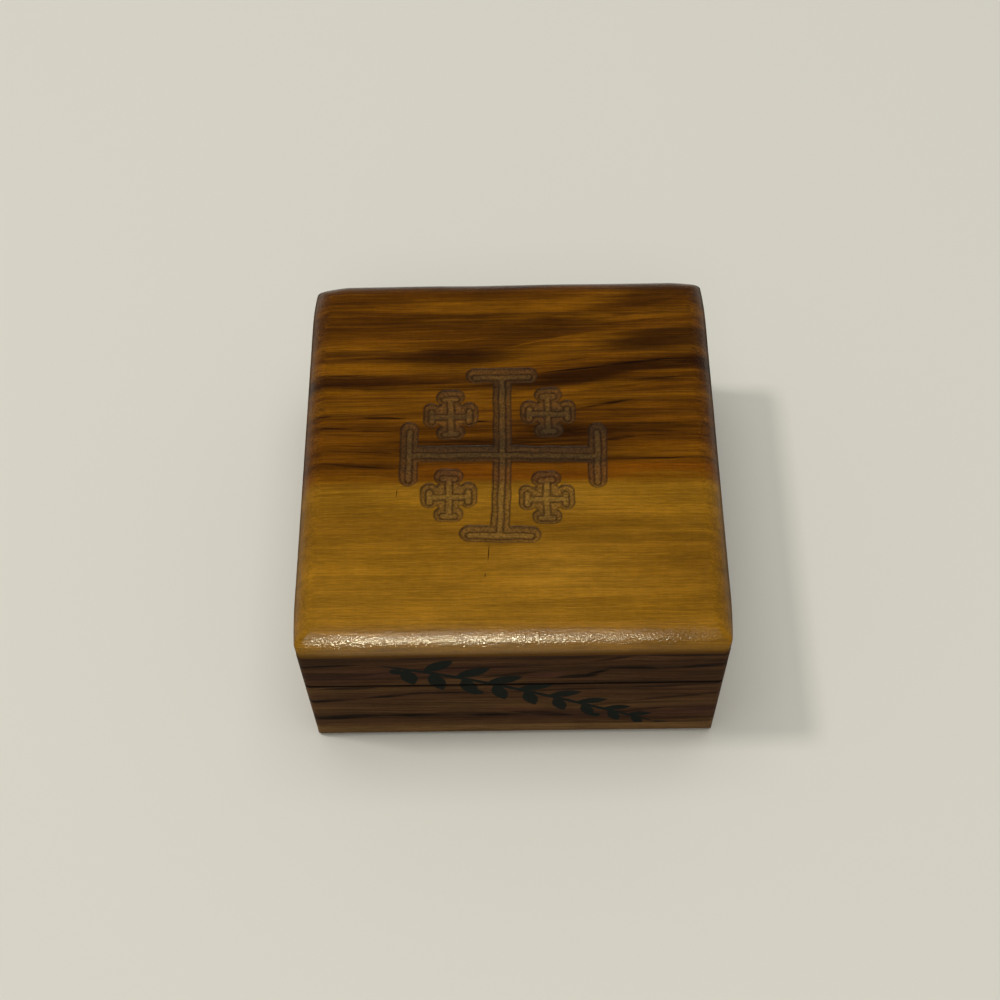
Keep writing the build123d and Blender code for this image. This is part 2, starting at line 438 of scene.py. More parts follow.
topWood = {
    "axes": "XYZ",
    "seed": 0.0,
    "bend": 1.0,
    "span": (-42.0, 42.0),
    "heart": (-9.0, -1.5, 0.05),
    "darkVeins": 0.6,
    "paleVeins": 0.55,
    "roughness": 0.15,
    "gloss": 0.16,
    "peel": 1.0,
    "fibreHeight": 0.25,
    # middle of the stretch, rise of the grain (from y, to y, slope there, slope there),
    # bands from front to back; the dark last ones, on the rounded back edge, are heartwood with painted
    # shade
    "bands": [
        (-30.0, (-8.0, 20.0, 0.0, 0.0), [
            (-42, honey), (-26, gold), (-17, dusk), (-9.5, gold), (-8.4, dusk), (-7.4, amber),
            (-5.6, tan), (-4, umber), (-3, tan), (-0.9, brown), (0.5, tan), (3, tan), (4.5, brown),
            (5.8, tan), (7.1, brown), (8.4, amber), (11, amber), (12.2, tan), (13.4, amber), (15, dark),
            (17, umber), (18.2, amber), (20, amber), (21, brown), (23.6, amber), (25.6, tan),
            (28, brown), (32, brown), (33.2, tan), (35, brown), (38.5, brown), (40, dark)]),
        (-10.0, (-8.0, 20.0, 0.0, 0.02), [
            (-42, honey), (-26, gold), (-18, dusk), (-11, gold), (-8.8, dusk), (-7, orange),
            (-4.5, orange), (-3.4, brown), (-1, umber), (1, dark), (2.2, tan), (3.2, brown), (4.6, tan),
            (6, amber), (8, tan), (10, amber), (13, amber), (14, umber), (15.6, brown), (16.8, brown),
            (17.8, amber), (18.8, amber), (20, umber), (21.8, dark), (23.4, brown), (27, brown),
            (31.6, umber), (33, amber), (34.6, amber), (36, brown), (38.5, brown), (40, dark)]),
        (10.0, (-3.0, 26.0, 0.02, 0.20), [
            (-42, gold), (-28, honey), (-17, dusk), (-11, honey), (-8.6, gold), (-7.2, orange),
            (-4.2, tan), (-3.2, dark), (-1, umber), (1, dark), (3.4, dark), (5, umber), (6.6, brown),
            (8.2, umber), (9.6, amber), (12.8, amber), (13.8, umber), (15, dark), (16.6, dark),
            (17.4, brown), (18.8, tan), (19.6, tan), (21, amber), (24, amber), (26, brown), (28, umber),
            (31, umber), (32.6, amber), (34.6, amber), (36.4, brown), (38.5, brown), (40, dark)]),
        (30.0, (-3.0, 26.0, 0.01, 0.11), [
            (-42, gold), (-22, dusk), (-13, gold), (-8.6, gold), (-7, amber), (-4.6, orange),
            (-3.4, tan), (-2.8, umber), (-1.8, amber), (0.8, tan), (2, brown), (3.2, brown),
            (4.6, umber), (6, tan), (7.4, brown), (9.6, tan), (11.4, amber), (12.8, brown), (14, tan),
            (15, umber), (16.4, brown), (17.6, dark), (19.4, dark), (20.4, brown), (21.8, amber),
            (23.2, umber), (27, umber), (28.4, tan), (30, brown), (31.6, amber), (34, brown),
            (38, umber)]),
    ],
    # streaks: from x, y to x, y, half width, strength
    "lines": {
        dark: [
            (-36, 15.6, -19, 16.1, 1.7, 0.5), (-24, 15.3, -7, 15.6, 0.6, 0.55),
            (3, 14.4, 24, 16.4, 1.7, 0.85), (18, 23.4, 38, 26.6, 2.2, 0.5),
            (-1, 3, 16, 4.2, 1.6, 0.6), (-27, 20.8, -4, 20.5, 1.1, 0.6),
            (12, 12.2, 27, 13.8, 0.6, 0.5), (-34, 29.5, -16, 30.5, 2, 0.15),
            (14, 28.6, 34, 31, 0.4, 0.55), (23, 33.4, 34, 35.2, 0.9, 0.4),
            (35, 10.6, 42, 10.9, 0.5, 0.55),
        ],
        amber: [
            (-36, 24.4, -26, 23.5, 0.9, 0.7), (-25, 22.9, -16, 23, 0.35, 0.85),
            (-35, 33.3, -21, 33.2, 0.3, 0.8), (-24, 33.1, -2, 34.3, 0.8, 0.5),
            (-16, 24.4, 0, 26.7, 0.16, 0.6), (-5, 19.8, 11, 20.9, 0.8, 0.7),
            (-2, 23, 11, 26.2, 0.3, 0.85), (6, 25.2, 26, 27.6, 0.8, 0.75),
            (7, 30.8, 23, 31.7, 1.2, 0.65), (22, 16.5, 40, 17.1, 0.6, 0.6),
            (16, 12.9, 31, 15, 0.3, 0.7), (-39, 19.9, -9, 17.9, 0.7, 0.65),
            (-31, 12.8, -19, 12.6, 0.4, 0.6),
        ],
        gold: [
            (-40, -7.4, -24, -7.9, 0.35, 0.55), (-33, -6.2, -22, -6.7, 0.3, 0.5),
            (19, -6.3, 40, -6.1, 0.35, 0.5), (-20, -8.3, -9, -8.2, 0.3, 0.5),
        ],
        brown: [
            (-41, -10.4, -26, -10.2, 0.3, 0.35), (-38, -8.9, -22, -9, 0.35, 0.4),
            (20, -8.3, 42, -8, 0.3, 0.35), (24, -10.2, 42, -9.9, 0.3, 0.3),
            (1, -8.6, 14, -8.3, 0.3, 0.35), (-36, -16, -12, -15.6, 0.35, 0.22),
            (8, -24, 36, -23.2, 0.4, 0.2), (-30, -28, 2, -27.6, 0.35, 0.2),
            (-6, -33.5, 30, -33, 0.4, 0.18),
        ],
        black: [
            (4, 16.5, 21, 18.3, 0.38, 1), (15, 17.8, 36, 20.1, 0.34, 0.9),
            (-10, 5.2, -3.4, 5.5, 0.36, 1), (17, 1.2, 24.5, 1.9, 0.44, 0.95),
            (18, 2, 42, 2.6, 0.22, 0.75), (17, -3, 42, -2.7, 0.24, 0.8),
            (-39, 4.6, -29, 4.3, 0.3, 0.9), (-32, 4, -20, 3.7, 0.22, 0.65),
            (-31, 7.2, -19, 6.5, 0.44, 0.85), (-38, 7.4, -34, 7.5, 0.38, 0.75),
            (-38, 17.1, -27, 17.6, 0.24, 0.7), (-35, 14.4, -21, 13.9, 0.26, 0.65),
            (-13, 1.3, -3, 1.2, 0.38, 0.85), (-39, -3.3, -19, -4.9, 0.38, 0.65),
            (-37, -0.7, -19, -1.6, 0.24, 0.65), (-37, 0.7, -20, -0.1, 0.2, 0.6),
            (-37, 2.8, -20, 2.4, 0.18, 0.55), (-35, 21.1, -21, 21, 0.26, 0.6),
            (12, 8.5, 26, 10.5, 0.42, 0.8), (19, 7, 39, 7.5, 0.2, 0.55),
            (21, 4.9, 34, 5.1, 0.27, 0.65), (24, 3.4, 33, 3.2, 0.32, 0.55),
            (21, 14.5, 39, 16.1, 0.18, 0.55), (25, 27.4, 37, 27.8, 0.26, 0.45),
            (4, 19.1, 19, 20.6, 0.24, 0.55),
        ],
    },
    # drying checks across the grain: from y, x to y, x, half width, strength
    "checks": [(-21.0, -4.1, -25.6, -4.4, 0.14, 1.0), (-27.5, -4.9, -28.9, -4.9, 0.13, 0.9),
               (-8.8, -21.4, -11.7, -21.6, 0.13, 0.9)],
}


# The carving was cut through the lacquer and only oiled: grey-brown, rough, with painted shade along its
# creases
carving = {
    "middle": (-1.5, -1.4),
    # ends of the arms from the middle, and the length of the bar across each
    "arms": [(-17.9, 0.1, 14.5), (18.1, -0.6, 14.8), (0.0, 18.1, 14.0), (-0.6, -17.7, 15.2)],
    "width": 3.6,
    "crosslets": [(-10.0, 9.0), (8.9, 9.3), (-10.2, -9.2), (8.2, -9.9)],
    "crossletArms": [(-3.65, 0, 5.6), (3.65, 0, 5.6), (0, 4.1, 5.6), (0, -4.1, 5.6)],
    "crossletWidth": 3.4,
    "crossletHeart": 3.2,        # radius of the cleared middle of a crosslet
    "depth": 0.78,
    "lipWidth": 0.20,            # the cutter left a steep lip, then a gentler wall
    "lipDepth": 0.26,
    "wall": 1.10,                # how far the wall reaches in from the edge
    "wallCurve": 0.8,
    "crease": (0.68, 0.17, 0.14),    # distance from the centre line, width, depth
    "ridge": (0.5, 0.24, 0.16),      # half width, width of its slopes, height
    "unsteady": (3.1, 0.09),     # length and reach of the strays of the hand-held cutter
    "wallColour": "#523d25",     # scorched by the spinning cutter
    "ridgeColour": "#55462a",
    "cover": 0.44,
    "frontFade": (6.0, -24.0, 0.09),    # lighter towards the front: from y, to y, strength
    # painted shade in the creases, and the dark line inside the edge
    "creaseColour": "#1f1208",
    "creaseShade": 0.75,
    "rim": (0.10, 0.13, 0.70),   # dark line inside the edge: distance from it, width, strength
    "cutEdge": (0.02, 0.16),     # where the cut wood starts outside the edge, and over what width
    "roughness": 0.85,
    "grit": (0.42, 0.08, 0.40),  # spacing, height and shade of the torn fibres on the cut faces
}

# Where hands wore the lacquer of the plate; also painted shade along its lower edge and where its sides
# and back turn steep. Heights are from its underside.
wearAndPaintedShade = {
    "lowEdgeShadeColour": "#532c00",        # painted shade on the lower edge
    "lowEdgeShadeCover": 0.85,
    "lowEdgeShadeRise": 2.0,
    "dull": (0.8, 3.3, 0.9),     # rubbed dull from here down: to height, from height, roughness
    # fingers opening the lid polished the front edge: from y to y, and where along x it fades at each end
    "polish": ((-37.4, -39.0), (-38.0, -31.0), (38.0, 4.0)),
    "polishRoughness": 0.14,
    "sparkle": (0.28, 0.05),     # spacing and height of the fine bumps that glitter there
    "sideEdgeShadeColour": "#2e1800",       # painted shade where the sides and the back of the plate turn steep
    "sideEdgeShadeCover": 0.7,
    "steep": (0.75, 0.10),       # upward part of the normal where the painted shade starts and is full
    "notFront": (-0.6, -0.1),    # backward part of the normal, likewise
    # bare below this, lacquered above that, cover of the bare colour, streaks in it
    "underside": (0.02, 0.08, 0.55, 0.20),
}


def carvedFinish(board):
    tree, position = board.tree, board.position
    place = addNode(tree, "SeparateXYZ", [position]).outputs
    cut, crease, ridge = (addNode(tree, "Attribute", attribute_name=label).outputs["Fac"]
                          for label in ("cut", "crease", "ridge"))
    spacing, height, shade = carving["grit"]
    grit = joinNoise(tree, position, spacing, spacing)
    dull = addNode(tree, "MixRGB", [ridge, carving["wallColour"], carving["ridgeColour"]])
    dull = addNode(tree, "MixRGB", [carving["cover"], board.colour, dull])
    dull = shadeBy(tree, dull, grit, *noiseSpan, shade)
    dull = shadeBy(tree, dull, place["Y"], *carving["frontFade"])
    colour = addNode(tree, "MixRGB", [cut, board.colour, dull])
    # painted shade in the creases, and the dark line inside the edge
    colour = addNode(tree, "MixRGB", [crease, colour, carving["creaseColour"]])
    roughness = addNode(tree, "MapRange", [cut, 0.0, 1.0, board.roughness, carving["roughness"]])
    torn = {"Height": grit, "Strength": cut, "Distance": height * mm, "Normal": board.bump}

    low = topLow[2]
    dullFull, dullEnd, dullRoughness = wearAndPaintedShade["dull"]
    # painted shade along the lower edge of the plate
    edgeTop = low + wearAndPaintedShade["lowEdgeShadeRise"]
    lowEdgeShadeMask = addNode(tree, "MapRange", [place["Z"], low, edgeTop, wearAndPaintedShade["lowEdgeShadeCover"], 0.0])
    dulled = addNode(tree, "MapRange", [place["Z"], low + dullFull, low + dullEnd, 1.0, 0.0])
    roughness = addNode(tree, "MapRange", [dulled, 0.0, 1.0, roughness, dullRoughness])
    colour = addNode(tree, "MixRGB", [lowEdgeShadeMask, colour, wearAndPaintedShade["lowEdgeShadeColour"]])

    polish = addNode(tree, "Math", [1.0, dulled], operation="SUBTRACT")
    for axis, (none, full) in zip("YXX", wearAndPaintedShade["polish"]):
        fade = addNode(tree, "MapRange", [place[axis], none, full])
        polish = addNode(tree, "Math", [polish, fade], operation="MULTIPLY")
    spacing, rise = wearAndPaintedShade["sparkle"]
    fine = joinNoise(tree, position, spacing, spacing, 1.0)
    glitter = addNode(tree, "Bump", {"Height": fine, "Distance": rise * mm, "Normal": board.bump})
    fill(tree, board.shader, {"Coat Weight": polish, "Coat Normal": glitter,
                              "Coat Roughness": wearAndPaintedShade["polishRoughness"]})

    # painted shade where the sides and the back of the plate turn steep; the lacquer is made rough there
    # too
    facing = addNode(tree, "SeparateXYZ", [addNode(tree, "TexCoord").outputs["Normal"]]).outputs
    steep = addNode(tree, "MapRange", [facing["Z"], *wearAndPaintedShade["steep"], 0.0, wearAndPaintedShade["sideEdgeShadeCover"]])
    notFront = addNode(tree, "MapRange", [facing["Y"], *wearAndPaintedShade["notFront"]])
    steep = addNode(tree, "Math", [steep, notFront], operation="MULTIPLY")
    steep = addNode(tree, "Math", [steep, cut], operation="SUBTRACT", use_clamp=True)
    board.colour = addNode(tree, "MixRGB", [steep, colour, wearAndPaintedShade["sideEdgeShadeColour"]])
    board.roughness = addNode(tree, "MapRange", [steep, 0.0, wearAndPaintedShade["sideEdgeShadeCover"], roughness, 1.0])
    board.bump = addNode(tree, "Bump", torn)
    bareTo, lacquerFrom, cover, shade = wearAndPaintedShade["underside"]
    bare = addNode(tree, "MapRange", [place["Z"], low + bareTo, low + lacquerFrom, 1.0, 0.0])
    leaveBare(board, bare, cover, shade)
    finishWood(board)


topBoard = makeWood("olive wood, lacquered and carved", topWood)
carvedFinish(topBoard)


def crossStrokes(middle, arms, width):
    # Centre lines of a cross whose arms each end in a short bar across them
    strokes = []
    for endX, endY, barLength in arms:
        end = np.array([middle[0] + endX, middle[1] + endY])
        across = np.array([-endY, endX]) / math.hypot(endX, endY) * (barLength - width) / 2
        strokes.append((np.array(middle), end))
        strokes.append((end - across, end + across))
    return strokes


def nearest(points, strokes):
    best = np.full(len(points), 1e9)
    for start, end in strokes:
        run = end - start
        t = np.clip((points - start) @ run / (run @ run), 0, 1)
        best = np.minimum(best, np.linalg.norm(points - start - t[:, None] * run, axis=1))
    return best


def easeIn(value):
    value = np.clip(value, 0, 1)
    return value * value * (3 - 2 * value)


def carve(points):
    # Height, cut, dark lines (painted shade in the creases, and a dark line inside the edge) and ridge at
    # each point of the plate's upper face
    length, stray = carving["unsteady"]
    jitter = np.array([[noise.noise((x / length, y / length, seed)) for seed in (5.0, 9.0)]
                       for x, y in points])
    points = points + 2 * stray * jitter
    centre = nearest(points, crossStrokes(carving["middle"], carving["arms"], carving["width"]))
    inside = carving["width"] / 2 - centre
    smallHalf = carving["crossletWidth"] / 2
    for offsetX, offsetY in carving["crosslets"]:
        middle = (carving["middle"][0] + offsetX, carving["middle"][1] + offsetY)
        small = nearest(points, crossStrokes(middle, carving["crossletArms"], carving["crossletWidth"]))
        heart = carving["crossletHeart"] - np.linalg.norm(points - np.array(middle), axis=1)
        inside = np.maximum(inside, np.maximum(smallHalf - small, heart))
        centre = np.minimum(centre, small)
    wall = easeIn(np.clip(inside / carving["wall"], 0, 1) ** carving["wallCurve"])
    lip = easeIn(inside / carving["lipWidth"])
    height = -carving["lipDepth"] * lip - (carving["depth"] - carving["lipDepth"]) * wall
    place, width, depth = carving["crease"]
    crease = np.exp(-((centre - place) / width) ** 2) * (inside > 0)
    halfWidth, slope, rise = carving["ridge"]
    ridge = (1 - easeIn((centre - halfWidth + slope / 2) / slope)) * (inside > 0)
    height = height - depth * crease + rise * ridge
    place, width, strength = carving["rim"]
    rim = strength * np.exp(-((inside - place) / width) ** 2)
    outside, width = carving["cutEdge"]
    cut = easeIn((inside + outside) / width)
    return height, cut, np.clip(carving["creaseShade"] * crease + rim, 0, 1), ridge


topPlate = {
    "uprightRadius": 1.2,
    "easingLength": 15.0,    # the sides bend in a little over this length before each upright edge
    "easingDepth": 0.8,
    "edgeRadius": 4.5,
    "mitre": 3.2,            # how crisp the mitre of two roundings is; 2 would be a ball corner
    "patch": 44.0,           # side of the finely meshed square that holds the carving
    "patchCells": 260,
    "flatLoops": 5,
    "edgeLoops": 16,
    "sanding": (11, 0.16),   # how unevenly the edges were rounded by hand: length, height
    # extra wear of the back corners: left, right, how far in it reaches and how it rises
    "wornCorners": (2.2, 1.5, 7.5, 1.5),
    "lowest": 0.97,          # no rounding or wear goes further down the plate than this part of it
}
deepest = topPlate["lowest"] * (topHigh[2] - topLow[2])


def plateOutline(halfX, halfY, cells):
    # Points round the board, even steps from corner to corner: straight front and back, eased sides
    radius = topPlate["uprightRadius"]
    length = topPlate["easingLength"]
    cornerX = halfX - topPlate["easingDepth"]
    steps = cells // 2
    quarter = [(cornerX * step / steps, -halfY) for step in range(steps + 1)]
    for step in range(1, steps + 1):
        y = -halfY * (1 - step / steps)
        eased = max(0.0, length - (halfY + y)) / length
        quarter.append((halfX - topPlate["easingDepth"] * eased ** 2, y))
    quarter = np.array(quarter)
    corner = np.array([cornerX - radius, -halfY + radius])
    off = quarter - corner
    rounded = (off[:, 0] > 0) & (off[:, 1] < 0)
    shrink = radius / np.linalg.norm(off[rounded], axis=1)
    quarter[rounded] = corner + off[rounded] * np.minimum(1, shrink)[:, None]
    half = np.concatenate([quarter[:-1], (quarter * (1, -1))[::-1][:-1]])
    loop = np.concatenate([half, -half])
    return np.roll(loop, steps, axis=0)


def roundedHeight(points, halfX, halfY, radius):
    # How far the rounded edges lie below the flat top, the two roundings meeting in a soft mitre
    drops = []
    for axis, half in enumerate((halfX, halfY)):
        inward = np.clip(radius - (half - np.abs(points[:, axis])), 0, radius)
        drops.append(radius - np.sqrt(radius ** 2 - inward ** 2))
    power = topPlate["mitre"]
    return np.minimum((drops[0] ** power + drops[1] ** power) ** (1 / power), deepest)


def cornerWear(points, halfX, halfY):
    left, right, reach, rise = topPlate["wornCorners"]
    nearX = np.clip(1 - (halfX - np.abs(points[:, 0])) / reach, 0, 1)
    nearY = np.clip(1 - (halfY - points[:, 1]) / reach, 0, 1)
    return np.where(points[:, 0] < 0, left, right) * (nearX * nearY) ** rise


def buildTopPlate():
    cells = topPlate["patchCells"]
    side = np.linspace(-topPlate["patch"] / 2, topPlate["patch"] / 2, cells + 1)
    gridX, gridY = np.meshgrid(side + carving["middle"][0], side + carving["middle"][1])
    flat = np.stack([gridX.ravel(), gridY.ravel()], axis=1)
    height, cut, darkLines, ridge = carve(flat)
    top = topHigh[2]
    vertices = [np.column_stack([flat, top + height])]
    row = cells + 1
    faces = [(j * row + i, j * row + i + 1, (j + 1) * row + i + 1, (j + 1) * row + i)
             for j in range(cells) for i in range(cells)]
    ring = list(range(cells))
    ring += [j * row + cells for j in range(cells)]
    ring += [cells * row + i for i in range(cells, 0, -1)]
    ring += [j * row for j in range(cells, 0, -1)]

    halfX = (topHigh[0] - topLow[0]) / 2
    halfY = (topHigh[1] - topLow[1]) / 2
    radius = topPlate["edgeRadius"]
    outline = plateOutline(halfX, halfY, cells)
    inner = flat[ring]
    coreHalf = np.array([halfX - radius, halfY - radius])
    core = (inner - np.array(carving["middle"])) / (topPlate["patch"] / 2) * coreHalf
    loops = []
    for step in range(1, topPlate["flatLoops"] + 1):
        share = step / (topPlate["flatLoops"] + 1)
        loops.append(np.column_stack([inner + (core - inner) * share, np.full(len(core), top)]))
    length, sanded = topPlate["sanding"]
    uneven = np.array([0.5 + noise.noise((x / length, y / length, 2.0)) for x, y in outline])
    for step in range(topPlate["edgeLoops"] + 1):
        angle = math.radians(90 * step / topPlate["edgeLoops"])
        plan = core + (outline - core) * math.sin(angle)
        drop = roundedHeight(plan, halfX, halfY, radius)
        drop = drop + sanded * uneven * math.sin(2 * angle) ** 2
        drop = np.minimum(drop + cornerWear(plan, halfX, halfY), deepest)
        loops.append(np.column_stack([plan, top - drop]))
    lowest = loops[-1][:, 2]
    for share in (0.5, 0.98, 1.0):
        loops.append(np.column_stack([outline, lowest + (topLow[2] - lowest) * share]))

    count = row * row
    previous = ring
    around = len(ring)
    for loop in loops:
        current = list(range(count, count + around))
        count += around
        vertices.append(loop)
        faces += [(previous[i], current[i], current[(i + 1) % around], previous[(i + 1) % around])
                  for i in range(around)]
        previous = current
    faces.append(tuple(reversed(previous)))
    vertices = np.concatenate(vertices) * mm
    mesh = bpy.data.meshes.new("carved_top_plate")
    mesh.from_pydata(vertices.tolist(), [], faces)
    mesh.update()
    smooth = np.ones(len(mesh.polygons), bool)
    smooth[-1] = False
    mesh.polygons.foreach_set("use_smooth", smooth)
    for label, values in (("cut", cut), ("crease", darkLines), ("ridge", ridge)):
        attribute = mesh.attributes.new(label, "FLOAT", "POINT")
        full = np.zeros(len(vertices), np.float32)
        full[:len(values)] = values
        attribute.data.foreach_set("value", full)
    mesh.materials.append(topBoard.material)
    plate = bpy.data.objects.new("carved_top_plate", mesh)
    scene.collection.objects.link(plate)
    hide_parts("top_plate")
    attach(plate, "lid")
    print("carved top plate", len(vertices), "points")


buildTopPlate()


# Sides: brown heartwood with dark wavy lines, running on from the base to the lid
wallThickness = 7.0
toInside = wallThickness - 0.1    # a hair behind the inner faces
sideBrown, sideTan, sideUmber, sidePlum = "#5d3f26", "#70502f", "#48301d", "#58382a"
lineBrown, lineBlack = "#2a1b10", "#150d07"

frontWood = {
    "axes": "XZY",
    "seed": 3.0,
    "bend": 1.6,
    "span": (0.0, 42.0),
    "heart": (3.0, 7.0, 0.4),
    "darkVeins": 0.75,
    "paleVeins": 0.60,
    "darkVeinColour": "#24170d",
    "paleVeinColour": "#745636",
    "roughness": 0.55,
    "gloss": 0.015,
    "peel": 0.5,
    "fibreHeight": 1.0,
    "bare": (topHigh[0] - toInside, topHigh[1] - toInside, None),
    "bands": [
        (-24.0, (5.0, 30.0, 0.04, 0.10), [
            (0, sideTan), (5, sideTan), (7, sideBrown), (10, sideBrown), (13, sideTan), (17, sideBrown),
            (20, sideBrown), (23, sideTan), (26, sideBrown), (29, sidePlum), (32, sideBrown),
            (36, sideUmber)]),
        (22.0, (5.0, 30.0, 0.03, 0.12), [
            (0, sideTan), (5, sideTan), (7, sideBrown), (10, sidePlum), (14, sideTan), (18, sideBrown),
            (22, sideBrown), (25, sideUmber), (28, sideBrown), (31, sideUmber), (33, sideBrown),
            (37, sideUmber)]),
    ],
    "lines": {
        lineBlack: [
            (6, 26.6, 17, 27.6, 1, 1), (11, 26.2, 19, 30.4, 0.9, 1),
            (15, 30.6, 30, 30, 0.9, 1), (24, 29.8, 44, 32.4, 0.9, 0.95),
            (-44, 7.6, -22, 10.4, 1.35, 1), (-30, 10, -6, 9.8, 1, 1),
            (-14, 9.8, 6, 9.6, 1, 1), (-2, 11.6, 13, 8.6, 1.9, 0.9),
            (-44, 32.6, -26, 33.6, 0.9, 0.95),
            (-38, 22.4, -24, 23.2, 1.1, 0.9), (-44, 15.6, -28, 17.8, 1.1, 1),
            (-31, 17.2, -14, 20.6, 1, 1),
        ],
        lineBrown: [
            (-22, 20.4, 0, 19.7, 0.9, 0.95), (-6, 19.6, 24, 22.4, 0.8, 0.9),
            (16, 21.4, 44, 24, 0.8, 0.9), (13, 32.6, 24, 35.4, 0.7, 0.9),
            (20, 34.8, 44, 35.8, 0.6, 0.8),
            (-37, 27, -20, 31, 0.6, 0.7), (-26, 30.8, 12, 32, 0.5, 0.7),
            (-8, 26.6, 7, 29.8, 0.7, 0.9), (10, 8.8, 32, 12.6, 1, 0.7),
            (16, 14.6, 44, 21, 0.8, 0.85), (-26, 34.4, -8, 35.7, 0.6, 0.6),
            (8, 5.4, 42, 5.8, 0.5, 0.7), (-42, 28.4, -27, 29.6, 1.5, 0.7),
            (-34, 12.8, 4, 13.8, 0.6, 0.6), (2, 13, 32, 15.6, 0.6, 0.55),
            (-40, 25.4, -14, 25.8, 0.5, 0.6),
        ],
        sidePlum: [
            (0, 27.4, 11, 28, 1.7, 0.9), (-8, 12.8, 14, 11.6, 1.3, 0.6),
            (-38, 30.6, -20, 31.4, 0.9, 0.5),
        ],
    },
}

sideWood = dict(frontWood, axes="YZX", seed=17.0, lines={
    lineBlack: [
        (-42, 12, 4, 14.8, 0.7, 0.8), (-8, 15.2, 42, 12, 0.6, 0.7),
        (-30, 30, 20, 32, 0.6, 0.75), (6, 26, 42, 29, 0.7, 0.8),
    ],
    lineBrown: [
        (-42, 7, 42, 9, 0.5, 0.6), (-42, 19, 10, 20.6, 0.6, 0.75),
        (0, 20.8, 42, 19, 0.5, 0.7), (-42, 26, -4, 27.6, 0.5, 0.7),
        (-20, 34, 42, 34.6, 0.45, 0.6), (-36, 23.2, -20, 23, 1.2, 0.4),
    ],
    sidePlum: [(-12, 17.6, 10, 17, 1.5, 0.6), (14, 23, 30, 23.4, 1.4, 0.5)],
})

backWood = dict(frontWood, seed=29.0, lines={
    lineBlack: [
        (-42, 17, -4, 14, 0.7, 0.8), (-12, 14.2, 42, 16, 0.6, 0.7),
        (-34, 31.6, 10, 33, 0.55, 0.75),
    ],
    lineBrown: [
        (-42, 8, 42, 10, 0.6, 0.7), (-42, 21, 20, 19.6, 0.6, 0.75),
        (-6, 27.4, 42, 29, 0.6, 0.7), (-42, 26, -14, 28, 0.5, 0.6),
        (-10, 34.8, 42, 34.2, 0.45, 0.6),
    ],
    sidePlum: [(-4, 22.8, 14, 23.4, 1.4, 0.6)],
})

# A sprig of olive leaves painted by hand across the front, in thin green-black paint
sprig = {
    "colour": "#121b17",
    "cover": 0.97,
    "roughness": 0.45,
    "creep": 0.5,                # how far the paint creeps along the fibres
    "softEdge": 0.06,            # as a part of each leaf
    "paintDepth": (1.0, 1.5),    # from the front face, where it starts to fade and is gone
    "stem": (22.08, -0.5370, -0.0034, 0.00004),    # height of the stem as a cubic of x
    "stemEnds": (-25.0, 28.0),
    "stemHalfWidth": 0.62,
    "stemTaper": 8.0,            # the higher, the blunter its ends
    # where a leaf grows on the stem, angle from the stem, length, width
    "leaves": [
        (-20, -60, 7, 3.1), (-16.6, 62, 7.4, 3.2), (-15.2, -54, 7.8, 3.2), (-10.8, 54, 7.6, 3.1),
        (-9.4, -50, 7.6, 3.1), (-5, 48, 7.2, 3), (-3.6, -48, 7.2, 2.9), (0.8, 46, 7, 2.8),
        (2.2, -46, 6.8, 2.8), (6.4, 44, 6.6, 2.7), (7.8, -44, 6.4, 2.6), (11.8, 42, 6.2, 2.5),
        (13.2, -42, 6, 2.4), (17, 40, 5.6, 2.3), (18.4, -38, 5.4, 2.2), (21.8, 38, 5, 2),
        (23, -34, 4.8, 1.9), (27.4, 2, 4.8, 2),
    ],
    # small olives: x, height, length, width
    "olives": [
        (-21.6, 30, 2.6, 2.2), (-6.9, 20.6, 2.4, 2), (4.6, 22.9, 2.3, 1.9), (15.7, 9.2, 2.1, 1.8)],
    "oliveTilt": -0.5,
}


def stemHeight(x):
    a, b, c, d = sprig["stem"]
    return a + b * x + c * x * x + d * x ** 3


def sprigShapes():
    # Centre, tilt, half length and half width of each leaf and olive, and which of the two it is
    for startX, angle, length, width in sprig["leaves"]:
        turn = math.atan2(stemHeight(startX + 0.5) - stemHeight(startX - 0.5), 1.0) + math.radians(angle)
        centreX = startX + math.cos(turn) * length / 2
        centreZ = stemHeight(startX) + math.sin(turn) * length / 2
        yield centreX, centreZ, turn, length / 2, width / 2, "leaf"
    for centreX, centreZ, length, width in sprig["olives"]:
        yield centreX, centreZ, sprig["oliveTilt"], length / 2, width / 2, "olive"


